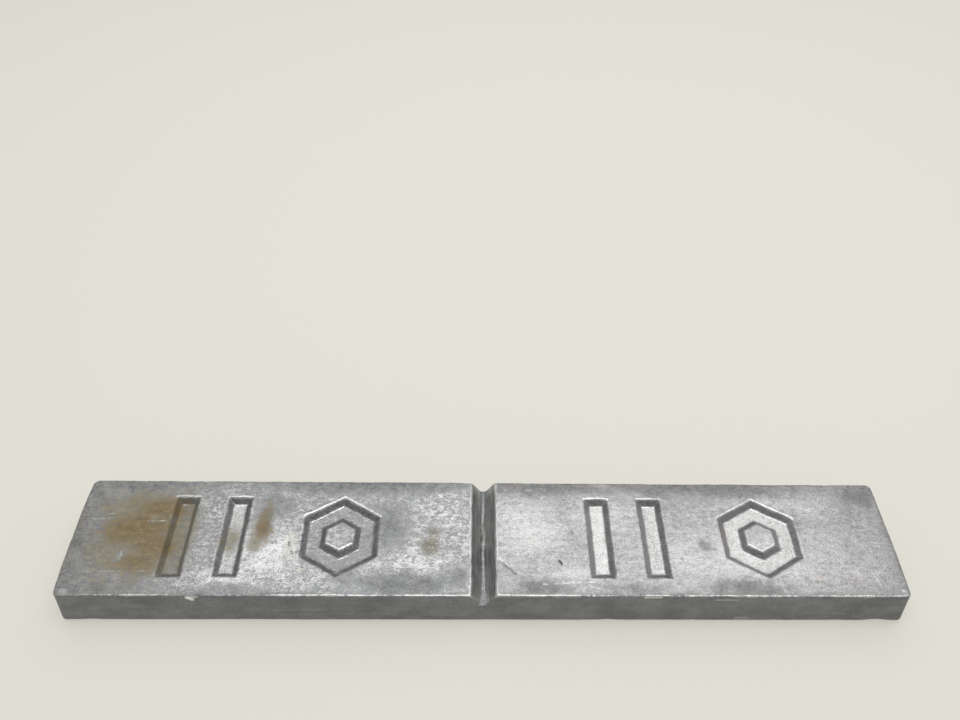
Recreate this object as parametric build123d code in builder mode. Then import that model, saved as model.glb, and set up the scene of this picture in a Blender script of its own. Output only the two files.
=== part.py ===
from build123d import *
from math import cos, pi
import os

# A lead ingot cast in an open mould: long and flat, with a break notch across its middle
# and sunk marks in both halves. It lies on its pour face, at z = 0, with the face that lay
# on the mould floor upwards. X runs along it, -Y is its front, Z is up.
# All sizes are in millimetres and degrees.

# Body: the marked face is the smaller one, and the walls lean out from it to the pour face.
marked_length = 400.0
marked_width = 62.4
height = 21.6
end_draft = 9.0
side_draft = 6.6
corner_radius = 2.6
top_edge_radius = 0.8
pour_edge_radius = 1.1

# Break notch across the middle of the marked face.
notch_mouth = 11.2
notch_root = 2.6
notch_depth = 10.0
notch_root_radius = 0.9
notch_lip_radius = 1.6

# Marks: each half of the ingot has a pair of stripes and a hexagon frame, sunk with sloping
# walls. The stroke is the width of a groove, and the margin the room left to the long edges,
# both at the marked face. A corner of the hexagon points to each long edge.
mark_depth = 2.8
mark_wall_angle = 45.0
mark_stroke = 12.0
mark_margin = 9.6
mark_pitch = 65.5
mark_rim_radius = 0.6
mark_foot_radius = 0.5
stripe_gap = 14.5
hexagon_sides = 6
hexagon_turn = 90.0

# Worked out from the sizes above.
marked_plane = Plane.XY.offset(height)
half_centre = (marked_length / 2 + notch_mouth / 2) / 2
mark_length = marked_width - 2 * mark_margin
stripe_pitch = mark_stroke + stripe_gap
hexagon_radius = mark_length / 2
island_radius = hexagon_radius - mark_stroke / cos(pi / hexagon_sides)


with BuildPart() as ingot:
    # The body, drawn at the size of its marked face and drafted about it.
    with BuildSketch():
        Rectangle(marked_length, marked_width)
    extrude(amount=height)
    draft(ingot.faces().filter_by(Axis.X), marked_plane, end_draft)
    draft(ingot.faces().filter_by(Axis.Y), marked_plane, side_draft)
    fillet(ingot.edges().group_by(Axis.Z)[1], corner_radius)

    # The break notch runs out through both long walls.
    with BuildSketch(Plane.XZ) as notch_section:
        with BuildLine():
            Polyline(
                (-notch_mouth / 2, height),
                (-notch_root / 2, height - notch_depth),
                (notch_root / 2, height - notch_depth),
                (notch_mouth / 2, height),
                close=True,
            )
        make_face()
        fillet(notch_section.vertices().group_by(Axis.Y)[0], notch_root_radius)
    extrude(amount=marked_width, both=True, mode=Mode.SUBTRACT)
    lips = ingot.edges().filter_by(Axis.Y).group_by(Axis.Z)[-1]
    fillet(lips.sort_by(lambda edge: abs(edge.center().X))[0:2], notch_lip_radius)

    # Rounded edges: one chain round the marked face and through the notch, and the edge
    # that the molten metal drew round the pour face.
    marked_faces = ingot.faces().filter_by(Axis.Z).group_by(Axis.Z)[-1]
    fillet(marked_faces.edges().filter_by(Axis.X), top_edge_radius)
    fillet(ingot.faces().sort_by(Axis.Z)[0].edges(), pour_edge_radius)

    # The sunk marks, cut straight down and then drafted about the marked face.
    with BuildSketch(marked_plane):
        with Locations((-half_centre, 0), (half_centre, 0)):
            with Locations((-mark_pitch / 2, 0)):
                with GridLocations(stripe_pitch, 0, 2, 1):
                    Rectangle(mark_stroke, mark_length)
            with Locations((mark_pitch / 2, 0)):
                RegularPolygon(hexagon_radius, hexagon_sides, rotation=hexagon_turn)
                RegularPolygon(
                    island_radius, hexagon_sides, rotation=hexagon_turn, mode=Mode.SUBTRACT
                )
    extrude(amount=-mark_depth, mode=Mode.SUBTRACT)
    mark_walls = ingot.faces(Select.LAST).filter_by(Axis.Z, reverse=True)
    draft(mark_walls, marked_plane, mark_wall_angle)

    # Soft edges where the marks meet the marked face, and along the foot of their walls.
    top_faces = ingot.faces().filter_by(Axis.Z).group_by(Axis.Z)[-1].sort_by(SortBy.AREA)
    islands, halves = top_faces[:-2], top_faces[-2:]
    rims = [edge for half in halves for wire in half.inner_wires() for edge in wire.edges()]
    fillet(islands.edges() + rims, mark_rim_radius)
    floors = ingot.faces().filter_by(Axis.Z).group_by(Axis.Z)[-2]
    fillet(floors.edges(), mark_foot_radius)

ingot.part.label = "ingot"

os.makedirs("parts", exist_ok=True)
export_step(ingot.part, "parts/ingot.step")
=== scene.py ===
# %% [markdown]
# # A cast lead ingot
# This ingot is one piece of lead, poured into an open iron mould. Its top is the face that
# lay on the mould's floor: it carries the sunk marks and the break notch. Lead is soft and
# tarnishes fast, so the bar is silvery where the mould has let go of it cleanly, dull grey
# towards its edges and dark grey on its walls. This notebook builds one closed mesh for the
# bar, then one metal for it, then the floor and the light.

# %% Load the frame
from math import cos, pi, radians, sin, tan

import bpy
import numpy as np
from mathutils import Matrix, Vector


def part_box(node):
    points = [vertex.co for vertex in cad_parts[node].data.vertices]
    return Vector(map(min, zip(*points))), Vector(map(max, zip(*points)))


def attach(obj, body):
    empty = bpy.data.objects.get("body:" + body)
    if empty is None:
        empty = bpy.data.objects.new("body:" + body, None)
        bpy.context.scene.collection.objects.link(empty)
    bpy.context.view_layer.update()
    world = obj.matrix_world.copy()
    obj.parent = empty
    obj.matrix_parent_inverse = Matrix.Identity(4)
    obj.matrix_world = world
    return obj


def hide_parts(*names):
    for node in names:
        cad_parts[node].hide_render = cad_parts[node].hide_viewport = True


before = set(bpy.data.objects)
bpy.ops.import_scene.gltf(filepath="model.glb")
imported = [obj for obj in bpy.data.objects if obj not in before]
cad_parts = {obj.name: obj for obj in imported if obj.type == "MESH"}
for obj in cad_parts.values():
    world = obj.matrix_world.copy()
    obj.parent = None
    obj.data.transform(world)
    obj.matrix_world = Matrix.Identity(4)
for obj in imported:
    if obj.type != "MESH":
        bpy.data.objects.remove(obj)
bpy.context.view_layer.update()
low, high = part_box("ingot")
print("frame box in mm:", [round(1000 * side, 1) for side in high - low])

# %% [markdown]
# ## The camera
# The photograph looks down on the bar from the front, with the lens about 36 cm above the
# floor. The camera is made first, so that each later step can be judged in that view. Its
# lens was worked out from the way the long edges close up with distance.

# %% Camera
picture_width = 960
focal_pixels = 776
camera_place = (-0.0057, -0.1836, 0.3642)
camera_tilt = radians(49.00)
camera_turn = radians(-0.78)
camera_roll = radians(0.94)

camera_data = bpy.data.cameras.new("camera")
camera_data.sensor_width = 36.0
camera_data.lens = camera_data.sensor_width * focal_pixels / picture_width
camera = bpy.data.objects.new("camera", camera_data)
bpy.context.scene.collection.objects.link(camera)
aim = Matrix.Rotation(camera_turn, 4, "Z") @ Matrix.Rotation(pi / 2 - camera_tilt, 4, "X")
camera.matrix_world = Matrix.Translation(camera_place) @ aim @ Matrix.Rotation(camera_roll, 4, "Z")
bpy.context.scene.camera = camera
print("lens in mm:", round(camera_data.lens, 1))

# %% [markdown]
# ## Sizes
# A caster would measure the mould: its floor, the lean of its walls and its radii. The frame
# gives the box of the whole bar, so the marked face is worked out from it: it is the box less
# what each leaning wall adds on its way down to the rounded foot.

# %% Sizes of the body
MM = 0.001
height = high.z
end_draft = radians(9.0)
side_draft = radians(6.6)
corner_radius = 2.8 * MM
rim_radius = 0.8 * MM
foot_radius = 1.1 * MM


def foot_reach(draft):
    """How far the foot stands out past the marked face: the lean of the wall down to where the
    foot's arc begins, plus the part of that arc that still swells outwards."""
    arc_start = foot_radius * (1 + sin(draft))
    return (height - arc_start) * tan(draft) + foot_radius * (1 - cos(draft))


half_length = high.x - foot_reach(end_draft)
half_width = high.y - foot_reach(side_draft)
print("marked face in mm:", round(2000 * half_length, 1), "x", round(2000 * half_width, 1))

# %% Sizes of the notch and the marks
notch_mouth = 11.2 * MM
notch_root = 2.6 * MM
notch_depth = 10.0 * MM
notch_softness = 0.42 * MM

mark_depth = 2.8 * MM
mark_stroke = 12.0 * MM
mark_margin = 9.6 * MM
mark_pitch = 65.5 * MM
mark_softness = 0.24 * MM
stripe_gap = 14.5 * MM

half_centre = (half_length + notch_mouth / 2) / 2
mark_reach = half_width - mark_margin
stripe_offset = (mark_stroke + stripe_gap) / 2
hexagon_apothem = mark_reach * cos(pi / 6)
island_apothem = hexagon_apothem - mark_stroke
hexagon_middles = [side * half_centre + mark_pitch / 2 for side in (-1, 1)]
pair_middles = [side * half_centre - mark_pitch / 2 for side in (-1, 1)]
stripe_middles = [pair + way * stripe_offset for pair in pair_middles for way in (-1, 1)]
print("middles in mm:", [round(1000 * middle, 1) for middle in stripe_middles + hexagon_middles])

# %% [markdown]
# ## Unevenness
# Nothing cast is quite flat. A cheap and repeatable way to get that is to add up plane waves:
# each is a sine that runs in its own direction, and forty of them in random directions look
# like poured metal. The wavelength sets how broad the swellings are.

# %% Waves


def waves(x, y, z, wavelength, seed, count=40):
    """Sum of count sines of a point's place: each has a random direction, a wave number near 2 pi
    over the wavelength and a random phase. It is scaled so that most values lie in -1 to 1."""
    rng = np.random.default_rng(seed)
    direction = rng.normal(size=(3, count))
    direction /= np.linalg.norm(direction, axis=0)
    number = 2 * pi / wavelength * rng.uniform(0.6, 1.5, count)
    phase = rng.uniform(0, 2 * pi, count)
    place = np.stack([x, y, z], axis=-1)
    return np.sin(place @ (direction * number) + phase).sum(axis=-1) / np.sqrt(count)


# %% [markdown]
# ## The outlines of the marks
# For each mark one number says it all: how far a place lies inside the outline, counted
# negative outside. For a rectangle that is the smaller of two distances. For a hexagon, the
# reach of a place is the largest of its distances along the three directions square to the
# sides, and the frame lies between the reach of the island and that of the outline.

# %% Distance inside a mark


def inside_stripes(x, y):
    """Distance inside the nearest stripe: the smaller of half its stroke less the distance from
    its middle line, and half its length less the distance from the bar's middle line."""
    across = np.max([mark_stroke / 2 - abs(x - middle) for middle in stripe_middles], axis=0)
    return np.minimum(across, mark_reach - abs(y))


def inside_hexagons(x, y):
    """Distance inside the nearest hexagon frame: the smaller of the outline's apothem less the
    reach of the place, and that reach less the island's apothem."""
    frames = []
    for middle in hexagon_middles:
        turns = (0, pi / 3, 2 * pi / 3)
        reach = np.max([abs((x - middle) * cos(turn) + y * sin(turn)) for turn in turns], axis=0)
        frames.append(np.minimum(hexagon_apothem - reach, reach - island_apothem))
    return np.max(frames, axis=0)


# %% [markdown]
# ## The height of the marked face
# The marks and the notch all open upwards, or the bar could not leave its mould, so this side
# is a height for each place. A wall at 45 degrees is as deep as it is far inside the outline,
# until it meets the floor. Knocks are added where the photograph has them: shallow bowls and
# short grooves.

# %% Ramps, bowls and grooves


def ramp(distance, run, softness):
    """0 outside, the distance itself on the slope, and run on the floor. Both bends are rounded:
    the ramp is the difference of two soft corners k log(1 + e^(d / k)), one run apart."""
    start = np.logaddexp(0, distance / softness)
    stop = np.logaddexp(0, (distance - run) / softness)
    return softness * (start - stop)


def spot(x, y, middle_x, middle_y, size_x, size_y):
    """A round hill: e to the minus square of the distance from its middle, counted in sizes."""
    return np.exp(-(((x - middle_x) / size_x) ** 2) - ((y - middle_y) / size_y) ** 2)


def groove(x, y, start, end, width):
    """A soft line: e to the minus square of the distance from the segment, counted in widths. The
    nearest point of the segment is found by its share of the way, held between 0 and 1."""
    step_x, step_y = end[0] - start[0], end[1] - start[1]
    share = ((x - start[0]) * step_x + (y - start[1]) * step_y) / (step_x**2 + step_y**2)
    share = np.clip(share, 0, 1)
    away = np.hypot(x - start[0] - share * step_x, y - start[1] - share * step_y)
    return np.exp(-((away / width) ** 2))


# %% Knocks and cuts of the marked face
knocks = [
    # middle x, middle y, size x, size y, depth, in mm
    (-184.0, -24.5, 5.0, 2.6, 0.30),
    (-95.0, -5.0, 2.6, 6.0, 0.22),
    (-109.0, 12.0, 6.0, 4.0, 0.16),
    (-40.0, 2.0, 6.0, 11.0, 0.20),
    (-36.0, -24.0, 9.0, 2.4, 0.16),
    (43.2, 2.2, 0.9, 0.7, 0.35),
    (30.0, -22.0, 7.0, 3.0, 0.16),
    (100.0, 12.0, 6.0, 6.0, 0.14),
    (168.0, -3.0, 7.0, 9.0, 0.20),
    (186.0, 14.0, 5.0, 8.0, 0.16),
    (178.0, -22.0, 6.0, 3.0, 0.18),
]
cuts = [
    # start, end, width, depth, in mm
    ((7.6, -12.5), (17.5, -20.5), 0.8, 0.26),
    ((35.8, -12.2), (37.6, -15.1), 0.45, 0.55),
    ((-172.0, 8.0), (-157.0, 8.4), 0.6, 0.22),
    ((-24.0, 20.0), (-17.5, 25.0), 0.9, 0.24),
]

# %% Sag, beads and swells
sag = 0.17 * MM
bead_height = 0.12 * MM
bead_width = 0.7 * MM
broad_swell = 0.06 * MM
narrow_swell = 0.022 * MM
wobble = 0.11 * MM
wobble_length = 7 * MM

# From lift_start on towards the front, the notch's root rises by up to root_lift of its depth.
lift_start = 12 * MM
root_lift = 0.20

# %% Height of the marked face


def marked_face(x, y):
    """Height of the marked face, how far each place lies inside a mark, and inside the notch. The
    height is that of the box, less a little sag with broad and narrow waves, less the notch, the
    marks, the knocks and the cuts, plus a thin bead that the mould leaves along each mark."""
    flat = np.zeros(x.shape)
    u = x + wobble * waves(x, y, flat, wobble_length, seed=13)
    v = y + wobble * waves(x, y, flat, wobble_length, seed=14)

    in_notch = notch_mouth / 2 - abs(u)
    notch_run = (notch_mouth - notch_root) / 2
    front_share = np.clip((-y - lift_start) / (half_width - lift_start), 0, 1)
    reached = notch_run * (1 - root_lift * front_share**2)
    notch = ramp(in_notch, reached, notch_softness) * notch_depth / notch_run

    in_mark = np.maximum(inside_stripes(u, v), inside_hexagons(u, v))
    mark = ramp(in_mark, mark_depth, mark_softness)
    bead = bead_height * np.exp(-((in_mark / bead_width + 0.7) ** 2))

    broad, narrow = waves(x, y, flat, 60 * MM, seed=11), waves(x, y, flat, 11 * MM, seed=12)
    sunk = sag - broad_swell * broad - narrow_swell * narrow - bead
    for middle_x, middle_y, size_x, size_y, depth in knocks:
        sunk += depth * MM * spot(x / MM, y / MM, middle_x, middle_y, size_x, size_y)
    for start, end, width, depth in cuts:
        sunk += depth * MM * groove(x / MM, y / MM, start, end, width)
    return height - np.maximum(sunk, 0) - notch - mark, in_mark, in_notch


# %% [markdown]
# ## Grid lines
# The face is a grid of lines along and across. They lie close where the shape turns fast and
# far apart where it is flat, which saves half of the triangles. The last lines across follow
# the round corners: each line along ends where it meets the corner's arc, so the corners need
# no patch of their own.

# %% Helpers for grid lines


def spaced(stops, steps):
    """Lines from the first stop to the last, each stretch divided evenly into about its step."""
    lines = [np.array(stops[:1])]
    for start, end, step in zip(stops[:-1], stops[1:], steps):
        count = max(1, round((end - start) / step))
        lines.append(np.linspace(start, end, count + 1)[1:])
    return np.concatenate(lines)


def across_lines(width, radius, stops, steps, corner_steps=8):
    """Lines across, from one side to the other: the given stretches, and in the corner zone lines
    at the heights of equal steps along the corner's quarter circle."""
    quarter = width - radius + radius * np.sin(np.linspace(0, pi / 2, corner_steps + 1)[1:])
    one_side = np.concatenate([spaced(stops + [width - radius], steps), quarter])
    return np.concatenate([-one_side[:0:-1], one_side])


def rounded_sheet(x_lines, y_lines, length, width, radius):
    """Points of a grid with the outline of a rounded rectangle. A line that runs h into the corner
    zone is as long as the rectangle less r - sqrt(r2 - h2), and only its end zone is squeezed."""
    into_corner = np.clip(abs(y_lines) - (width - radius), 0, radius)
    line_length = length - radius + np.sqrt(radius**2 - into_corner**2)
    squeeze = (line_length - end_zone) / (length - end_zone)
    x, y = np.meshgrid(x_lines, y_lines, indexing="ij")
    past_zone = np.clip(abs(x) - end_zone, 0, None)
    return np.sign(x) * (np.minimum(abs(x), end_zone) + past_zone * squeeze), y


# %% Points of the marked face
flat_inset = rim_radius * (1 / cos(side_draft) - tan(side_draft))
flat_length, flat_width = half_length - flat_inset, half_width - flat_inset
flat_radius = corner_radius - flat_inset
end_zone = half_length - 2 * corner_radius

notch_zone = 7.2 * MM
past_lip = 1.2 * MM
past_wall = 3.4 * MM
notch_step = 0.30 * MM
stripe_step = 0.42 * MM
hexagon_step = 0.46 * MM
plain_step = 1.12 * MM

fine_zones = [(-notch_zone, notch_zone, notch_step)]
for middle in hexagon_middles:
    reach = hexagon_apothem + past_lip
    fine_zones.append((middle - reach, middle + reach, hexagon_step))
for middle in stripe_middles:
    for side in (-1, 1):
        lip = middle + side * (mark_stroke / 2 + past_lip)
        foot = middle + side * (mark_stroke / 2 - past_wall)
        fine_zones.append((min(lip, foot), max(lip, foot), stripe_step))

x_stops, x_steps = [-flat_length], []
for start, end, spacing in sorted(fine_zones):
    x_stops += [start, end]
    x_steps += [plain_step, spacing]
x_lines = spaced(x_stops + [flat_length], x_steps + [plain_step])
y_stops = [0, mark_reach - past_wall, mark_reach + 0.8 * MM]
y_steps = [0.50 * MM, 0.42 * MM, 0.7 * MM]
y_lines = across_lines(flat_width, flat_radius, y_stops, y_steps)

face_x, face_y = rounded_sheet(x_lines, y_lines, flat_length, flat_width, flat_radius)
face_z, in_mark, in_notch = marked_face(face_x, face_y)
print("marked face:", face_x.shape, "points")

# %% [markdown]
# ## Rim, walls and foot
# From the border of the marked face one profile runs down, all round the bar: a quarter round
# rim, the leaning wall and the rounded foot. The profile starts as low as the border does, so
# where the notch runs out the wall is simply shorter. One profile carried round keeps the
# mesh closed and the edges soft.

# %% Border of the marked face


def border(grid):
    """The values round a grid's edge, in order: front, right, back, left."""
    return np.concatenate([grid[:, 0], grid[-1, 1:], grid[-2::-1, -1], grid[0, -2:0:-1]])


border_x, border_y, border_z = border(face_x), border(face_y), border(face_z)
into_arc = np.clip((abs(border_y) - (flat_width - flat_radius)) / flat_radius, 0, 1)
normal_y = into_arc * np.sign(border_y)
normal_x = np.sqrt(1 - into_arc**2) * np.sign(border_x)
core_x = border_x - flat_radius * normal_x
core_y = border_y - flat_radius * normal_y
spread_x = np.sign(core_x) * np.clip((abs(core_x) - end_zone) / corner_radius, 0, 1)
spread_y = core_y / (half_width - corner_radius)

# %% Lean and fall of the border
rim_steps, wall_steps, foot_steps = 5, 6, 5
lean = abs(normal_x) * tan(end_draft) + abs(normal_y) * tan(side_draft)
lean_angle = np.arctan(lean)

border_step = np.hypot(border_x - np.roll(border_x, 1), border_y - np.roll(border_y, 1))
fall = (np.roll(border_z, -1) - np.roll(border_z, 1)) / (border_step + np.roll(border_step, -1))
fall_cap = 6.0
steepness = np.sqrt(1 + np.minimum(fall**2, fall_cap))

# %% Uneven foot
foot_least = 1.02
foot_swell = 0.12
level = np.zeros(border_x.shape)
foot_wave = waves(border_x, border_y, level, 12 * MM, seed=21)
foot_wave += 0.6 * waves(border_x, border_y, level, 4 * MM, seed=22)
foot_size = foot_radius * (foot_least + foot_swell * np.clip(foot_wave, 0, 2))

# %% Rings from the rim to the foot


def rings():
    """Inset and height of each ring from rim to foot. On an arc of radius r, at angle t from
    straight up and with a wall that leans by d, the inset is r (1 / cos d - cos t tan d - sin t)
    at the rim and r ((sin d - cos t) tan d + cos d - sin t) at the foot."""
    insets, heights = [], []
    for share in np.linspace(0, 1, rim_steps + 1):
        turn = share * (pi / 2 - lean_angle)
        insets.append(rim_radius * (1 / np.cos(lean_angle) - np.cos(turn) * lean - np.sin(turn)))
        heights.append(border_z - steepness * rim_radius * (1 - np.cos(turn)))
    wall_top, wall_foot = heights[-1], foot_size * (1 + np.sin(lean_angle))
    for share in np.linspace(0, 1, wall_steps + 1)[1:]:
        insets.append(level)
        heights.append(wall_top + share * (wall_foot - wall_top))
    for share in np.linspace(0, 1, foot_steps + 1)[1:]:
        turn = pi / 2 - lean_angle + share * (pi / 2 + lean_angle)
        swell = (np.sin(lean_angle) - np.cos(turn)) * lean + np.cos(lean_angle) - np.sin(turn)
        insets.append(foot_size * swell)
        heights.append(foot_size * (1 + np.cos(turn)))
    return np.array(insets), np.array(heights)


ring_inset, ring_z = rings()
outwards = corner_radius - ring_inset
ring_x = core_x + spread_x * (height - ring_z) * tan(end_draft) + normal_x * outwards
ring_y = core_y + spread_y * (height - ring_z) * tan(side_draft) + normal_y * outwards
print("rings:", ring_x.shape)

# %% [markdown]
# The walls cooled against flat iron, so they are only a little hollow and wavy, and always
# inwards. The rim is soft metal that has been knocked and rubbed: it is set back by a
# different amount at each place. Both are added as a push along the outward direction.

# %% Waviness of the walls and wear of the rim
wall_hollow = 0.08 * MM
rim_set_back = 0.14 * MM
wall_nicks = [
    # x, height, size along, size down, depth, in mm, on the front wall
    (-136.0, 19.6, 1.8, 2.0, 0.55),
    (118.0, 20.6, 4.0, 1.2, 0.22),
    (84.0, 20.8, 2.4, 1.2, 0.25),
    (-12.0, 20.2, 1.6, 1.5, 0.25),
    (-188.0, 1.2, 4.0, 2.0, 0.35),
    (60.0, 1.0, 3.0, 1.8, 0.30),
    (190.0, 1.0, 5.0, 3.0, 0.60),
]

ring_number = np.arange(len(ring_x))[:, None]
on_rim = np.sin(pi * np.clip(ring_number / (rim_steps + 1), 0, 1))
on_wall = np.clip(ring_number / rim_steps, 0, 1)
wall_wave = waves(ring_x, ring_y, ring_z, 45 * MM, seed=31)
wall_wave += 0.5 * waves(ring_x, ring_y, ring_z, 9 * MM, seed=32)
rim_wave = waves(border_x, border_y, level, 18 * MM, seed=23)
rim_wave += 0.8 * waves(border_x, border_y, level, 5 * MM, seed=24)

push = on_wall * wall_hollow * np.clip(0.8 + 0.55 * wall_wave, 0.05, 2.0)
push = push + on_rim * rim_set_back * np.clip(0.5 + 0.7 * rim_wave, 0, 2.0)
for nick_x, nick_z, size_x, size_z, depth in wall_nicks:
    nick = spot(ring_x / MM, ring_z / MM, nick_x, nick_z, size_x, size_z)
    push = push + on_wall * np.where(ring_y < 0, depth * MM * nick, 0)
ring_x = ring_x - normal_x * push
ring_y = ring_y - normal_y * push

# %% [markdown]
# ## The pour face
# The underside is the side that was open to the air. Lead shrinks as it sets, so its middle
# sinks, its skin ripples, and it rests on its rim. A coarser grid is enough here, and the
# dish only rises, so nothing reaches below the floor.

# %% Grid of the pour face
pour_step = 2.2 * MM
pour_inset = 1.6 * MM
dish_depth = 0.95 * MM
ripple_height = 0.20 * MM
least_lift = 0.02 * MM

pour_length = ring_x[-1].max() - pour_inset
pour_width = ring_y[-1].max() - pour_inset
pour_x_lines = spaced([-pour_length, pour_length], [pour_step])
pour_y_lines = across_lines(pour_width, corner_radius, [0], [pour_step], corner_steps=5)
pour_x, pour_y = rounded_sheet(pour_x_lines, pour_y_lines, pour_length, pour_width, corner_radius)


def pour_face(x, y):
    """Height of the underside: a dish, 1 less the sixth power of the share along times 1 less the
    square of the share across, with ripples on it that die out at the rim."""
    dish = (1 - (abs(x) / pour_length) ** 6) * (1 - (abs(y) / pour_width) ** 2)
    flat = np.zeros(x.shape)
    ripple = waves(x, y, flat, 34 * MM, seed=41) + 0.45 * waves(x, y, flat, 10 * MM, seed=42)
    return np.maximum(dish * (dish_depth + ripple_height * ripple), 0) + least_lift


pour_z = pour_face(pour_x, pour_y)
print("pour face:", pour_x.shape, "points, dish in mm:", round(pour_z.max() / MM, 2))

# %% [markdown]
# ## Joining the surfaces
# The marked face and the first ring share their points. The last ring has far more points
# than the border of the pour face, so the two are laced together: each edge of one ring makes
# a triangle with the nearest point of the other, and the other's edges fill the gaps between.

# %% Faces of a grid and of a lace


def grid_faces(index):
    """Quads of a grid of point numbers: a point, the next along, the one across, and back."""
    corners = [index[:-1, :-1], index[1:, :-1], index[1:, 1:], index[:-1, 1:]]
    return np.stack([corner.ravel() for corner in corners], axis=-1)


def share_round(x, y):
    """How far round a closed ring each point lies, from 0 to 1, by its angle as seen from the
    middle once the ring is squeezed into a square."""
    angle = np.arctan2(y / abs(y).max(), x / abs(x).max())
    return np.mod(angle - angle[0], 2 * pi) / (2 * pi)


def lace(first, first_share, second, second_share):
    """Triangles between two closed rings that run the same way. Edge i of the first meets the
    second's point whose share is nearest its middle. Edge k of the second meets the first's
    point at which that choice passes from k to k + 1."""
    middle = (first_share + np.append(first_share[1:], 1.0)) / 2
    between = (second_share + np.append(second_share[1:], 1.0)) / 2
    apex = np.searchsorted(between, middle)
    one = np.stack([first, second[apex % len(second)], np.roll(first, -1)], axis=-1)
    turn = np.searchsorted(apex, np.arange(len(second)), side="right") % len(first)
    two = np.stack([first[turn], second, np.roll(second, -1)], axis=-1)
    return np.concatenate([one, two])


# %% Points and faces of the ingot
face_index = np.arange(face_x.size).reshape(face_x.shape)
below = face_x.size + np.arange(ring_x[1:].size).reshape(ring_x[1:].shape)
ring_index = np.vstack([border(face_index), below])
closed_rings = np.column_stack([ring_index, ring_index[:, :1]])
pour_index = face_x.size + below.size + np.arange(pour_x.size).reshape(pour_x.shape)


def whole(on_face, on_rings, on_pour):
    """One value for each point of the mesh, from the values of its three parts."""
    parts = zip((on_face, on_rings, on_pour), (face_x, ring_x[1:], pour_x))
    return np.concatenate([np.broadcast_to(values, like.shape).ravel() for values, like in parts])


x = whole(face_x, ring_x[1:], pour_x)
y = whole(face_y, ring_y[1:], pour_y)
z = whole(face_z, ring_z[1:], pour_z)
quads = np.concatenate([grid_faces(face_index), grid_faces(closed_rings), grid_faces(pour_index.T)])
laces = lace(
    ring_index[-1], share_round(ring_x[-1], ring_y[-1]),
    border(pour_index), share_round(border(pour_x), border(pour_y)),
)
print("points:", len(x), "triangles:", 2 * len(quads) + len(laces))

# %% [markdown]
# The mould was a little narrower at one end, as the photograph shows, so the bar tapers by
# under three hundredths of its width. Scaling y by a number that falls along x does that, and
# it keeps every mark and edge in step. The ends are not quite straight either: towards the
# corners they draw back by about a millimetre. A high power of x keeps that to the ends.

# %% The ingot's mesh
mould_taper = 0.026
left_bow = 1.4 * MM
right_bow = 0.8 * MM
end_power, side_power = 8, 3

to_corner = (x / high.x) ** end_power * abs(y / high.y) ** side_power
x = x + to_corner * np.where(x < 0, left_bow, -right_bow)
y = y * (1 - mould_taper * (0.5 + 0.5 * x / high.x))

mesh = bpy.data.meshes.new("cast_ingot")
mesh.from_pydata(np.stack([x, y, z], axis=-1).tolist(), [], quads.tolist() + laces.tolist())
mesh.polygons.foreach_set("use_smooth", np.ones(len(mesh.polygons), dtype=bool))
mesh.update()
ingot = bpy.data.objects.new("cast_ingot", mesh)
bpy.context.scene.collection.objects.link(ingot)
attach(ingot, "root")
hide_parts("ingot")

# %% [markdown]
# ## Where the metal differs
# Some looks follow the shape: rims are rubbed bright, and those that face the front also get a
# painted highlight; walls stay dark, floors of marks keep their cast skin, and in the right half
# the mark walls that face right get a painted reflection. Others follow the bar's history:
# tarnish creeps in from the edges, a rusty stain covers one end. Each is a number per point,
# kept as an attribute of the mesh that the material reads. They change slowly, so the mesh is
# fine enough for them, and the material adds the ragged detail with noise.

# %% Rims and walls


def band(distance, middle, width):
    """A soft line along a contour: e to the minus square of how far a distance is from the
    middle, counted in widths. Middle and width are in mm."""
    return np.exp(-(((distance - middle * MM) / (width * MM)) ** 2))


edge_gap = np.minimum(flat_length - abs(face_x), flat_width - abs(face_y))
ring_share = ring_number[1:] / rim_steps
notch_wall = np.clip((in_notch - 0.2 * MM) / (0.7 * MM), 0, 1)
notch_wall *= np.clip((notch_mouth / 2 - notch_root / 2 + 0.1 * MM - in_notch) / (0.5 * MM), 0, 1)

# How far the rim of a mark faces the front is read from how fast the distance inside it falls
# towards the back. All rims are rubbed; those that face the front also get a painted highlight.
facing_front = np.clip(-np.gradient(in_mark, y_lines, axis=1), -1, 1)
mark_rim_wear_highlight = band(in_mark, -0.20, 0.82) * (0.45 + facing_front)
notch_rim = band(in_notch, -0.45, 0.95)
# The front edge of the marked face and the top of the front wall are rubbed and also carry a
# painted highlight, weaker on the notch's right lip.
front_gap = flat_width + face_y
front_edge_wear_highlight = band(front_gap, 0, 0.6) * (in_notch < 0.5 * MM)
front_rim_wear_highlight = np.clip(1.35 - ring_share, 0, 1) * np.where(normal_y < -0.6, 1, 0)
notch_lip_wear_highlight = np.where(border_x < 0, 0.75, 0.25)
front_rim_wear_highlight = front_rim_wear_highlight * np.where(border(in_notch) > 0.3 * MM, notch_lip_wear_highlight, 1)

# %% Wear and painted highlight of the front edge
front_wear_highlight_table = [
    # x in mm and share of the full wear and painted highlight, from left to right
    (-200, 0.3), (-185, 0.8), (-155, 0.8), (-148, 0.5), (-112, 0.5), (-94, 0.9),
    (-10, 1.0), (10, 1.0), (42, 0.9), (50, 0.6), (73, 0.6), (79, 1.0),
    (86, 0.8), (106, 0.7), (112, 0.95), (135, 0.9), (150, 0.8), (195, 0.85),
]
front_wear_highlight_along = np.interp(face_x / MM, *zip(*front_wear_highlight_table))
front_edge_wear_highlight, front_rim_wear_highlight = front_edge_wear_highlight * front_wear_highlight_along, front_rim_wear_highlight * border(front_wear_highlight_along)

# %% Inside the marks and the notch
# A painted highlight runs along the foot of the mark walls that face the front.
mark_foot_highlight = band(in_mark - mark_depth, 0.2, 0.5)
mark_foot_highlight *= 1.1 * np.clip(facing_front, 0, 1)

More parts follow.
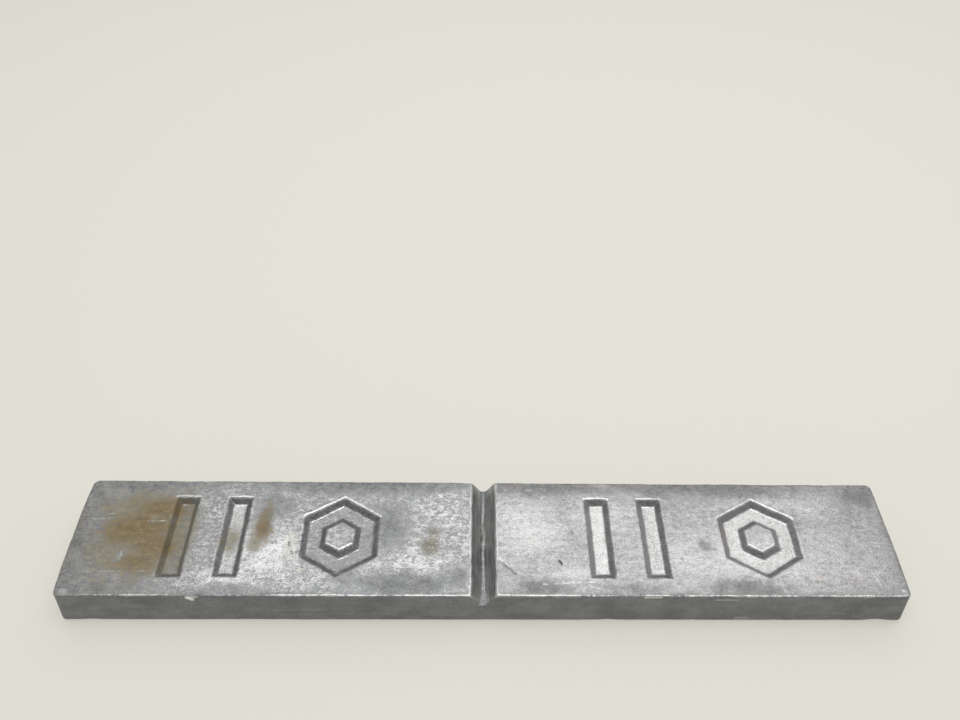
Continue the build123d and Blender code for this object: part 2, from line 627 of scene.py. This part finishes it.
# In the right half the mark walls that face right get a painted reflection: they are painted paler.
facing_right = np.clip(np.gradient(in_mark, x_lines, axis=0), 0, 1) * (face_x > 0)

# The root is darkest in the middle of the bar's width.
in_root = np.clip((in_notch - notch_mouth / 2 + notch_root / 2 + 0.6 * MM) / (0.8 * MM), 0, 1)
root_darkness = np.clip(1.4 - ((face_y - 2 * MM) / (18 * MM)) ** 2, 0.1, 1)

# %% Masks that follow the shape
sunk = whole(np.clip(ramp(in_mark, mark_depth, mark_softness) / mark_depth, 0, 1), 0, 0)
wall = whole(notch_wall, np.clip(1.5 * ring_share - 0.5, 0, 1), 0)
wear_highlight_mask = whole(np.clip(mark_rim_wear_highlight + mark_foot_highlight + notch_rim + front_edge_wear_highlight, 0, 1), front_rim_wear_highlight, 0)
cleft = whole(notch_wall, 0, 0)
painted_reflection_wall = whole(facing_right, 0, 0)
root = whole(in_root * root_darkness, 0, 0)
open_skin = whole(0, np.clip(ring_number[1:] - rim_steps - wall_steps - 2, 0, 1), 1)

# Each mark's floor has its own tone, a little paler towards the back.
tone_slope = 0.16
floor_tones = {stripe_middles[0]: 0.10, stripe_middles[1]: 0.62, hexagon_middles[0]: 0.05}
floor_tones |= {stripe_middles[2]: 0.95, stripe_middles[3]: 0.72, hexagon_middles[1]: 0.80}
nearest = np.argmin([abs(face_x - middle) for middle in floor_tones], axis=0)
back_share = 0.5 + 0.5 * face_y / mark_reach
own_tone = np.array(list(floor_tones.values()))[nearest]
floor_tone = whole(own_tone + tone_slope * (back_share - 0.5), 0, 0)

# %% Soft patches


def patches(spots):
    """The strongest of a list of soft spots at each point, from their middles and sizes in mm."""
    return np.max([strength * spot(x / MM, y / MM, *place) for *place, strength in spots], axis=0)


# %% Evenness and tarnish
change_width = 12 * MM
edge_strength = 0.85
edge_reach = 3.6 * MM

# The skin is ragged in the left half and even in the right one.
even = whole(np.clip(0.5 + face_x / change_width, 0, 1), 0, 0)
edge_band = whole(np.exp(-edge_gap / edge_reach), 1, 1)
tarnish = np.maximum(edge_strength * edge_band, patches([
    # middle x, middle y, size x, size y, strength
    (-208, 0, 34, 70, 1.25),
    (-180, -27, 34, 10, 1.0),
    (-172, 29, 48, 10, 1.1),
    (-120, -28, 30, 5, 0.75),
    (-104, 17, 12, 10, 0.95),
    (-88, -17, 7, 7, 0.65),
    (-60, 30, 70, 8.0, 1.25),
    (-47, 6, 13, 18, 0.95),
    (-64, -20, 12, 7, 0.75),
    (-38, -25, 30, 8, 1.1),
    (-14, -22, 9, 7, 0.95),
    (26, -27, 20, 7, 0.95),
    (30, 30, 44, 9, 1.25),
    (72, -27, 26, 5, 0.75),
    (124, -28, 28, 8.5, 1.0),
    (110, 31, 66, 10, 1.3),
    (108, -5, 6, 9, 0.72),
    (154, 8, 10, 16, 0.62),
    (178, -6, 12, 12, 0.55),
    (193, 25, 18, 12, 1.1),
    (209, 0, 18, 70, 0.9),
]))

# %% Bloom of the clean lead
bloom = patches([
    (-102, -9, 17, 13, 0.9),
    (-122, -22, 14, 5, 0.8),
    (-22, 12, 11, 14, 0.3),
    (-32, -13, 14, 5, 0.6),
    (22, 5, 18, 17, 0.60),
    (46, -19, 15, 4, 0.55),
    (94, -11, 13, 13, 0.45),
    (60, 10, 20, 14, 0.45),
    (130, -10, 60, 18, 0.50),
    (150, 16, 30, 8, 0.45),
])

# %% Stain, crust and blush
# Ochre is the brown middle of the stain, crust a pale film, and blush a faint pink.
stain = patches([
    (-170, 5, 20, 17, 1.20),
    (-160, 15, 15, 8, 1.05),
    (-165, -3, 19, 13, 1.15),
    (-181, -9, 12, 10, 0.90),
    (-164, -14, 16, 8, 1.05),
    (-149, 1, 9, 21, 0.85),
    (-184, 0, 34, 40, 0.36),
    (-124, 0, 4.5, 8, 0.62),
    (-108, 7, 4.0, 10, 0.95),
    (-111, -3, 4.5, 6, 0.70),
    (-94, -5, 3, 7, 0.40),
    (-26, -5, 5, 5, 0.72),
    (-25, 3, 4, 4, 0.50),
])
stain = stain - patches([
    (-163.4, 8.6, 3.2, 3.6, 0.75),
    (-188, 6, 6, 5, 0.40),
    (-174, -11, 3, 4, 0.35),
])
ochre = patches([
    (-168, 4, 17, 9, 1.15),
    (-160, 14, 13, 7, 1.10),
    (-160, -5, 10, 9, 1.05),
    (-165, -14, 11, 6, 0.85),
    (-108, 5, 3.5, 8, 0.80),
])
crust = patches([(-94, -5, 4.5, 9, 1.0), (-87, -17, 5, 4, 0.7), (-25, -2, 5, 6, 0.5)])
blush = patches([
    (159.5, -21.3, 2.6, 2.6, 1.0),
    (176, -20.4, 7, 3, 0.9),
    (119, 2, 5, 14, 0.8),
    (133, -16, 12, 4, 0.6),
])

# %% Keep the masks on the mesh
masks = {"sunk": sunk, "floor_tone": floor_tone, "wall": wall, "wear_highlight_mask": wear_highlight_mask, "open_skin": open_skin}
masks |= {"tarnish": tarnish, "bloom": bloom, "stain": stain, "ochre": ochre}
masks |= {"crust": crust, "blush": blush}
masks |= {"cleft": cleft, "root": root, "even": even, "painted_reflection_wall": painted_reflection_wall}
for name, values in masks.items():
    mesh.attributes.new(name, "FLOAT", "POINT").data.foreach_set("value", values.astype(np.float32))
    print(name, "mean", round(float(values.mean()), 3))

# %% [markdown]
# ## The material
# One metal covers the whole bar. It is built in layers, the way the real skin came about:
# clean lead first, then the tarnish, the dark walls, the stain and at last the bright wear.
# Painted highlights on the rims, a painted reflection on some mark walls and painted shade in
# the nicks are laid in among these layers.
# A few helpers keep the node graph readable: each adds a node and hands back its output.

# %% Node helpers
lead = bpy.data.materials.new("cast_lead")
lead.use_nodes = True
tree = lead.node_tree
place = tree.nodes.new("ShaderNodeTexCoord").outputs["Object"]


def node(kind, inputs, output=0, **settings):
    """Add a shader node with its settings, fill its inputs with numbers, colours or the outputs
    of other nodes, and return one of its own outputs."""
    made = tree.nodes.new("ShaderNode" + kind)
    for name, value in settings.items():
        setattr(made, name, value)
    for socket, value in inputs.items():
        if isinstance(value, bpy.types.NodeSocket):
            tree.links.new(value, made.inputs[socket])
        else:
            made.inputs[socket].default_value = value
    return made.outputs[output]


# %% Sums, steps and mixes


def calc(operation, first, second=0.0, third=0.0):
    """A sum, product or other function of up to three numbers."""
    return node("Math", {0: first, 1: second, 2: third}, operation=operation)


def times(first, second):
    """The product of two numbers."""
    return calc("MULTIPLY", first, second)


def rest_of(share):
    """1 less the share."""
    return calc("SUBTRACT", 1.0, share)


def scaled(colour, factor):
    """A colour or a vector times a number."""
    return node("VectorMath", {0: colour, "Scale": factor}, operation="SCALE")


def step(value, start, end):
    """0 up to the start, 1 from the end, and a smooth S between them."""
    inputs = {"Value": value, "From Min": start, "From Max": end}
    return node("MapRange", inputs, interpolation_type="SMOOTHSTEP")


def blend(first, second, share):
    """From the first colour to the second, as the share goes from 0 to 1."""
    return node("Mix", {0: share, 6: first, 7: second}, 2, data_type="RGBA")


def mix(first, second, share):
    """From the first number to the second, as the share goes from 0 to 1."""
    return node("Mix", {0: share, 2: first, 3: second}, 0, data_type="FLOAT")


# %% Noise and masks


def noise(size, seed, detail=3.0, rough=0.55, distortion=0.0):
    """Cloudy noise, from 0 to 1, with lumps of the given size in mm: a number, or one per axis.
    Distortion drags the lumps out into curls."""
    sizes = size if isinstance(size, tuple) else (size, size, size)
    scale = tuple(1 / (MM * one) for one in sizes)
    shift = (seed, 2 * seed, 3 * seed)
    where = node("Mapping", {"Vector": place, "Scale": scale, "Location": shift})
    look = {"Vector": where, "Scale": 1.0, "Detail": detail, "Roughness": rough}
    look |= {"Distortion": distortion}
    return node("TexNoise", look)


def mask(name):
    """The number per point that the mesh keeps under this name."""
    return node("Attribute", {}, "Fac", attribute_name=name)


# %% [markdown]
# ### Clean lead and tarnish
# Clean lead is a mid grey metal. Where it froze against cold iron it has a frosty bloom of
# tiny bright grains. Tarnish is darker and duller. Its mask is pushed up and down by noise
# before a steep step, which turns a soft gradient into patches with ragged edges.

# %% Clean lead and tarnish
grain = noise((0.95, 0.70, 0.70), 1, detail=3.0, rough=0.7)
fine_grain = noise(0.35, 2, detail=2.0)
mottled = noise((3.6, 2.4, 2.4), 5, detail=5.0, rough=0.7)
ragged = noise(7.0, 3, detail=8.0, rough=0.74)
streaks = noise((19.0, 2.2, 2.2), 4, detail=6.0, rough=0.7)
crinkle = noise((2.6, 1.9, 1.9), 11, detail=2.0, rough=0.6, distortion=1.6)
creases = step(calc("ABSOLUTE", calc("SUBTRACT", crinkle, 0.5)), 0.07, 0.0)


def sum_of(*parts):
    """The sum of noises and masks, each times its own strength. Each has its middle value of one
    half taken away first, so a sum of noises alone is about zero."""
    total = 0.0
    for value, strength in parts:
        total = calc("MULTIPLY_ADD", value, strength, calc("SUBTRACT", total, strength / 2))
    return total


contrast = mix(1.40, 0.60, mask("even"))
frost_noise = sum_of((grain, 1.3), (mottled, 1.8), (streaks, 0.7), (creases, 0.25))
frost_push = calc("MULTIPLY_ADD", frost_noise, contrast, sum_of((mask("bloom"), 0.6)))
frost = step(frost_push, -0.60, 0.45)
clean = blend((0.230, 0.233, 0.236, 1), (0.640, 0.642, 0.642, 1), frost)

tarnish_push = sum_of(
    (mask("tarnish"), 1.0), (ragged, 1.9), (streaks, 1.1), (mottled, 1.6), (grain, 0.9)
)
tarnished = step(tarnish_push, 0.04, 0.16)
deep = step(tarnish_push, 0.10, 0.90)
dull = blend((0.264, 0.267, 0.268, 1), (0.158, 0.162, 0.164, 1), deep)
patina = step(sum_of((mottled, 2.4), (grain, 1.7), (streaks, 0.8)), -0.55, 0.55)
dull = scaled(dull, mix(0.58, 1.42, patina))
colour = blend(clean, dull, times(tarnished, 0.88))
tint = blend((1.0, 1.0, 1.0, 1), (1.0, 0.985, 0.982, 1), mask("even"))
colour = node("VectorMath", {0: colour, 1: tint}, operation="MULTIPLY")

# %% [markdown]
# ### Marks and walls
# The floors of the marks kept a bright, slightly warm skin. The walls of the bar slid along
# the mould and are darkest, with faint level bands that were left as the metal rose in it.
# The pour face set in the open air and shows the crystals of the metal.

# %% Inside the marks
sunk_share = mask("sunk")
floor_share = step(sunk_share, 0.80, 1.0)
slope_share = times(step(sunk_share, 0.05, 0.3), rest_of(floor_share))
floor_skin = sum_of((mask("floor_tone"), 1.0), (grain, 2.2), (mottled, 1.8), (creases, 0.3))
paleness = step(floor_skin, -0.8, 0.72)
mark_floor = blend((0.205, 0.209, 0.205, 1), (0.590, 0.586, 0.580, 1), paleness)
colour = blend(colour, mark_floor, times(floor_share, 0.95))
slope_tone = step(sum_of((grain, 1.3), (mottled, 1.0)), -0.4, 0.4)
slope_colour = blend((0.140, 0.144, 0.149, 1), (0.310, 0.315, 0.320, 1), slope_tone)
# Painted reflection: in the right half the mark walls that face right are painted paler.
reflection_share = times(mask("painted_reflection_wall"), 0.75)
slope_colour = blend(slope_colour, (0.520, 0.495, 0.490, 1), reflection_share)
colour = blend(colour, slope_colour, times(slope_share, 0.9))

# %% Walls of the bar and of the notch
bands = noise((60.0, 60.0, 0.9), 5, detail=3.0, rough=0.6)
smudge = noise((17.0, 17.0, 11.0), 6, detail=4.0, rough=0.62)
pores = noise(1.7, 12, detail=3.0, rough=0.65)
wall_tone = step(sum_of((bands, 0.35), (smudge, 1.9), (pores, 0.8)), -0.55, 0.55)
wall_colour = blend((0.155, 0.162, 0.164, 1), (0.262, 0.271, 0.273, 1), wall_tone)
cleft_tone = step(sum_of((noise((0.9, 9.0, 2.0), 10), 1.5), (smudge, 1.3)), -0.35, 0.35)
cleft_colour = blend((0.268, 0.276, 0.268, 1), (0.470, 0.478, 0.464, 1), cleft_tone)
wall_colour = blend(wall_colour, cleft_colour, mask("cleft"))
wall_share = mask("wall")
colour = blend(colour, wall_colour, wall_share)
root_tone = step(sum_of((noise((1.1, 5.0, 5.0), 13, detail=4.0), 2.4), (grain, 0.8)), -0.3, 0.5)
root_colour = blend((0.130, 0.135, 0.130, 1), (0.420, 0.425, 0.415, 1), root_tone)
colour = blend(colour, root_colour, times(mask("root"), 0.9))

# %% Pour face
crystals_per_metre = 170.0
open_share = mask("open_skin")
crystals = node("TexVoronoi", {"Vector": place, "Scale": crystals_per_metre}, "Distance")
open_tone = calc("MULTIPLY_ADD", crystals, 0.5, times(ragged, 0.7))
open_colour = blend((0.22, 0.225, 0.23, 1), (0.40, 0.402, 0.405, 1), step(open_tone, 0.3, 0.8))
colour = blend(colour, open_colour, open_share)

# %% [markdown]
# ### The stain
# A rusty, greenish brown film lies on one end, with small islands of it along the bar. It is
# no metal: it hides the shine. Its edge is ragged in the same way as the tarnish, and the
# middle is browner than the thin rim.

# %% The stain
blotch = noise(9.0, 7, detail=8.0, rough=0.72)
stain_push = sum_of((mask("stain"), 1.1), (blotch, 1.2), (mottled, 1.4), (grain, 0.9))
stained = step(stain_push, -0.46, 0.14)
ochre_push = sum_of((mask("ochre"), 1.1), (blotch, 1.5), (mottled, 1.8), (grain, 1.8))
stain_core = step(ochre_push, -0.60, 0.42)
stain_colour = blend((0.246, 0.231, 0.174, 1), (0.206, 0.155, 0.078, 1), stain_core)
stain_colour = scaled(stain_colour, mix(0.80, 1.24, patina))
on_top = rest_of(calc("MAXIMUM", wall_share, open_share))
stain_share = times(times(stained, mix(0.76, 0.93, stain_core)), on_top)
colour = blend(colour, stain_colour, stain_share)
colour = scaled(colour, mix(1.0, 0.62, times(slope_share, stain_share)))

crust_share = step(sum_of((mask("crust"), 1.0), (grain, 2.6), (mottled, 1.4)), 0.05, 0.35)
crust_share = times(crust_share, times(on_top, 0.75))
colour = blend(colour, (0.64, 0.635, 0.575, 1), crust_share)
blush_share = step(sum_of((mask("blush"), 1.0), (grain, 1.2), (mottled, 1.4)), 0.0, 0.6)
blush_share = times(blush_share, times(on_top, 0.45))
colour = blend(colour, (0.50, 0.41, 0.39, 1), blush_share)

# %% [markdown]
# ### Scratches and wear
# A scratch is a line on the marked face. The distance from a segment gives it: the nearest
# point on the segment is found with a dot product, and the distance to that point is turned
# into a thin line with its own width and strength. Noise breaks it up. The front wall has
# chips and faint lines of the same kind, measured along it and up it. Rims are rubbed
# bright too, but only here and there; where they face the front, part of that brightness is a
# painted highlight. Nicks are drawn in the same way and painted near black as painted shade.

# %% A place on one face


def vector(operation, *inputs, output=0):
    """A sum, product or other function of up to three vectors."""
    return node("VectorMath", dict(enumerate(inputs)), output, operation=operation)


shake_lumps_per_metre = 260.0


def flattened(keep):
    """The place of a point, shaken a little by noise and flattened to the directions to keep, so
    that the distance from a line on one face can be measured within that face."""
    cloud = node("TexNoise", {"Vector": place, "Scale": shake_lumps_per_metre}, "Color")
    shake = vector("SUBTRACT", cloud, (0.5, 0.5, 0.5))
    shaken = vector("MULTIPLY_ADD", shake, (MM, MM, MM), place)
    return vector("MULTIPLY", shaken, keep)


# %% Strokes


def stroke(where, start, end, width, strength):
    """The strength on a segment and 0 past its half width. The share of the way along the segment
    is the dot product with its direction over its length squared, held between 0 and 1."""
    direction = tuple(MM * (b - a) for a, b in zip(start, end))
    from_start = vector("SUBTRACT", where, tuple(MM * a for a in start))
    dot = vector("DOT_PRODUCT", from_start, direction, output="Value")
    share = node("Clamp", {"Value": calc("DIVIDE", dot, sum(part**2 for part in direction))})
    along = scaled(direction, share)
    away = vector("DISTANCE", from_start, along, output="Value")
    near = {"Value": away, "From Min": 0.3 * width * MM, "From Max": width * MM}
    near |= {"To Min": strength, "To Max": 0.0}
    return node("MapRange", near, interpolation_type="SMOOTHSTEP")


def strokes(where, lines):
    """The strongest of several strokes at each point."""
    strongest = stroke(where, *lines[0])
    for line in lines[1:]:
        strongest = calc("MAXIMUM", strongest, stroke(where, *line))
    return strongest


# %% Scratches
scratches = [
    # start, end, half width, strength, in mm
    ((-193.0, 9.0, 0), (-184.6, 9.2, 0), 0.40, 0.60),
    ((-186.0, 11.6, 0), (-183.0, 11.7, 0), 0.45, 0.85),
    ((-189.0, -18.8, 0), (-160.0, -18.6, 0), 0.42, 0.34),
    ((-165.5, 7.8, 0), (-155.6, 8.0, 0), 0.55, 1.00),
    ((-173.6, -8.6, 0), (-173.2, -13.4, 0), 0.70, 0.40),
    ((-140.0, 22.4, 0), (-137.4, 25.6, 0), 0.40, 0.55),
    ((-42.0, -13.0, 0), (-21.0, -17.2, 0), 0.35, 0.70),
    ((-46.0, -16.0, 0), (-30.0, -16.6, 0), 0.32, 0.60),
    ((-24.0, 24.2, 0), (-17.0, 19.4, 0), 0.60, 0.85),
    ((7.6, -11.2, 0), (11.6, -15.2, 0), 0.60, 0.80),
    ((28.0, -24.6, 0), (52.0, -23.4, 0), 0.50, 0.80),
    ((50.0, -25.6, 0), (54.0, -26.6, 0), 0.45, 0.70),
    ((10.2, 26.8, 0), (11.6, 26.4, 0), 0.80, 0.60),
    ((22.0, 26.2, 0), (24.5, 26.0, 0), 0.70, 0.60),
    ((29.0, 27.0, 0), (31.0, 26.6, 0), 0.60, 0.50),
    ((188.2, -2.6, 0), (193.0, -2.5, 0), 0.38, 0.70),
    ((184.8, -17.6, 0), (186.2, -24.2, 0), 0.85, 0.62),
    ((140.0, -23.6, 0), (140.6, -28.0, 0), 0.80, 0.45),
    ((170.5, -7.6, 0), (171.8, -9.8, 0), 0.45, 0.60),
    ((-196.0, -28.6, 0), (-194.0, -28.6, 0), 1.60, 0.45),
    ((196.0, -27.0, 0), (196.8, -27.8, 0), 0.90, 0.90),
    ((197.2, -29.0, 0), (198.0, -29.6, 0), 0.90, 0.90),
]
elsewhere = calc("MAXIMUM", calc("MAXIMUM", wall_share, open_share), sunk_share)
face_only = rest_of(elsewhere)
top_place = flattened((1.0, 1.0, 0.0))
broken = step(noise(2.2, 8, detail=4.0), 0.34, 0.58)
scratched = times(times(strokes(top_place, scratches), broken), face_only)

# %% Chips and lines of the front wall
wall_marks = [
    # start, end, half width, strength, in mm
    ((-137.0, 0, 19.8), (-135.4, 0, 18.6), 1.7, 1.00),
    ((-137.6, 0, 21.0), (-133.0, 0, 20.9), 1.2, 1.00),
    ((75.0, 0, 20.8), (82.5, 0, 20.6), 1.0, 0.60),
    ((108.0, 0, 18.8), (119.0, 0, 18.6), 0.9, 0.26),
    ((121.0, 0, 3.0), (127.0, 0, 2.8), 0.9, 0.26),
    ((-98.0, 0, 9.6), (-74.0, 0, 9.9), 0.5, 0.12),
    ((-70.0, 0, 6.4), (-42.0, 0, 6.2), 0.5, 0.08),
    ((30.0, 0, 4.2), (52.0, 0, 4.5), 0.5, 0.09),
    ((-28.0, 0, 5.2), (-8.0, 0, 5.0), 0.5, 0.08),
    ((150.0, 0, 7.4), (172.0, 0, 7.0), 0.5, 0.08),
    ((-176.0, 0, 12.2), (-150.0, 0, 12.6), 0.5, 0.07),
]
# Of the long walls, only the front one lies more than 28 mm in front of the middle line.
place_y = node("SeparateXYZ", {0: place}, "Y")
on_front = node("MapRange", {"Value": place_y, "From Min": -26 * MM, "From Max": -28 * MM})
chipped = step(noise(1.8, 14, detail=3.0), 0.25, 0.50)
marked = times(strokes(flattened((1.0, 0.0, 1.0)), wall_marks), chipped)
marked = times(times(marked, on_front), wall_share)

# %% Wear and painted highlights
rubbed = noise(6.0, 9, detail=6.0, rough=0.72)
wear_highlight_share = step(sum_of((mask("wear_highlight_mask"), 1.0), (rubbed, 2.4), (grain, 0.8)), 0.04, 0.40)
wear_highlight_share = times(wear_highlight_share, rest_of(times(stain_share, 0.6)))
bright = calc("MAXIMUM", times(wear_highlight_share, 0.8), times(scratched, 0.75))
# Wear, with the painted highlights along front-facing rims and edges, and bright scratches.
colour = blend(colour, (0.58, 0.58, 0.575, 1), bright)
colour = blend(colour, (0.88, 0.88, 0.86, 1), marked)
bright = calc("MAXIMUM", bright, marked)

nicks = [
    # start, end, half width, strength, in mm
    ((36.2, -12.4, 0), (37.2, -14.0, 0), 1.00, 0.95),
    ((43.2, 2.7, 0), (43.9, 2.4, 0), 0.85, 0.60),
    ((9.2, -14.4, 0), (15.0, -19.4, 0), 0.95, 0.42),
    ((-94.4, -3.2, 0), (-94.0, -5.0, 0), 0.95, 0.55),
    ((-92.8, -8.2, 0), (-92.2, -9.6, 0), 0.90, 0.50),
    ((117.0, -29.4, 0), (121.0, -29.7, 0), 0.60, 0.50),
]
# The nicks are painted near black: painted shade in the dents.
nick_shade = times(strokes(top_place, nicks), face_only)
colour = blend(colour, (0.06, 0.06, 0.065, 1), nick_shade)

speckle = mix(0.66, 1.34, calc("MULTIPLY_ADD", grain, 0.5, times(fine_grain, 0.5)))
colour = scaled(colour, speckle)

# %% [markdown]
# ### Shine and relief
# Bare lead is a metal with a soft shine. Tarnish and stain are films on it, so they are less
# metallic and rougher. The bump is the skin's grain: pebbly on the marked face, in level
# bands on the walls, in crystals on the pour face.

# %% Shine and relief
film = calc("MAXIMUM", times(tarnished, 0.4), stain_share)
metallic = mix(0.85, 0.05, film)
metallic = mix(metallic, 0.92, bright)
roughness = calc("MULTIPLY_ADD", grain, 0.16, mix(0.34, 0.66, film))
roughness = mix(roughness, 0.52, wall_share)
roughness = mix(roughness, 0.26, bright)
specular = mix(0.5, 0.15, stain_share)

pebbles = calc("MULTIPLY_ADD", grain, 0.8, times(fine_grain, 0.35))
relief = mix(pebbles, calc("MULTIPLY_ADD", bands, 0.35, times(grain, 0.35)), wall_share)
relief = mix(relief, calc("MULTIPLY_ADD", crystals, 0.8, pebbles), open_share)
relief = calc("SUBTRACT", relief, times(scratched, 0.4))
bump = node("Bump", {"Height": relief, "Strength": 0.8, "Distance": 0.25 * MM})

lead_shader = tree.nodes["Principled BSDF"]
surface = {"Base Color": colour, "Metallic": metallic, "Roughness": roughness, "Normal": bump}
surface |= {"Specular IOR Level": specular}
for socket, value in surface.items():
    tree.links.new(value, lead_shader.inputs[socket])
mesh.materials.append(lead)
print("nodes of the metal:", len(tree.nodes))

# %% [markdown]
# ## Floor and light
# The bar lies on a plain pale floor. A white sky gives soft light from all sides. A wide lamp
# hangs behind the bar: the marked face mirrors it towards the camera, so clean lead looks
# bright and the walls look dark. A smaller, stronger one hangs overhead. Only metal that is
# tilted a little towards the camera mirrors that one: the rims and the grain of the skin.

# %% Floor
floor_reach = 30.0
floor_corners = [(-floor_reach, -floor_reach, 0), (floor_reach, -floor_reach, 0)]
floor_corners += [(floor_reach, floor_reach, 0), (-floor_reach, floor_reach, 0)]
floor_mesh = bpy.data.meshes.new("floor")
floor_mesh.from_pydata(floor_corners, [], [(0, 1, 2, 3)])
floor = bpy.data.objects.new("floor", floor_mesh)
bpy.context.scene.collection.objects.link(floor)

pale = bpy.data.materials.new("pale_floor")
pale.use_nodes = True
floor_colour = (0.745, 0.723, 0.651, 1)
glow_share = 0.5
pale_nodes, pale_links = pale.node_tree.nodes, pale.node_tree.links
matt = pale_nodes["Principled BSDF"]
matt.inputs["Base Color"].default_value = floor_colour
matt.inputs["Roughness"].default_value = 0.9
glow = pale_nodes.new("ShaderNodeEmission")
glow.inputs["Color"].default_value = floor_colour
rays = pale_nodes.new("ShaderNodeLightPath")
seen = rays.outputs["Is Camera Ray"]
for ray in ("Is Glossy Ray", "Is Transmission Ray"):
    either = pale_nodes.new("ShaderNodeMath")
    either.operation = "MAXIMUM"
    pale_links.new(seen, either.inputs[0])
    pale_links.new(rays.outputs[ray], either.inputs[1])
    seen = either.outputs[0]
glowing = pale_nodes.new("ShaderNodeMath")
glowing.operation = "MULTIPLY"
glowing.inputs[1].default_value = glow_share
pale_links.new(seen, glowing.inputs[0])
lifted = pale_nodes.new("ShaderNodeMixShader")
pale_links.new(glowing.outputs[0], lifted.inputs[0])
pale_links.new(matt.outputs[0], lifted.inputs[1])
pale_links.new(glow.outputs[0], lifted.inputs[2])
pale_links.new(lifted.outputs[0], pale_nodes["Material Output"].inputs["Surface"])
floor_mesh.materials.append(pale)

# %% Light
sky_strength = 0.45
lamp_distance = 1.2

sky = bpy.data.worlds.new("white_sky")
bpy.context.scene.world = sky
sky.use_nodes = True
background = sky.node_tree.nodes["Background"]
background.inputs["Color"].default_value = (1, 1, 1, 1)
background.inputs["Strength"].default_value = sky_strength


def hang_lamp(name, lean, shift, size_x, size_y, watts):
    """A soft lamp that faces the bar from the lamp distance. It leans back from overhead by an
    angle in degrees and is shifted to the right. Lengths are in metres."""
    data = bpy.data.lights.new(name, "AREA")
    data.shape = "RECTANGLE"
    data.size, data.size_y, data.energy = size_x, size_y, watts
    hung = bpy.data.objects.new(name, data)
    bpy.context.scene.collection.objects.link(hung)
    lean_back = Matrix.Rotation(radians(-lean), 4, "X")
    hung.matrix_world = lean_back @ Matrix.Translation((shift, 0, lamp_distance))
    print(name, "radiance", round(watts / (pi * size_x * size_y), 2))


hang_lamp("wide_lamp", lean=36, shift=0.15, size_x=2.1, size_y=0.9, watts=5.0)
hang_lamp("overhead_lamp", lean=6, shift=0.1, size_x=1.3, size_y=0.45, watts=7.4)
bpy.context.scene.view_settings.view_transform = "Standard"
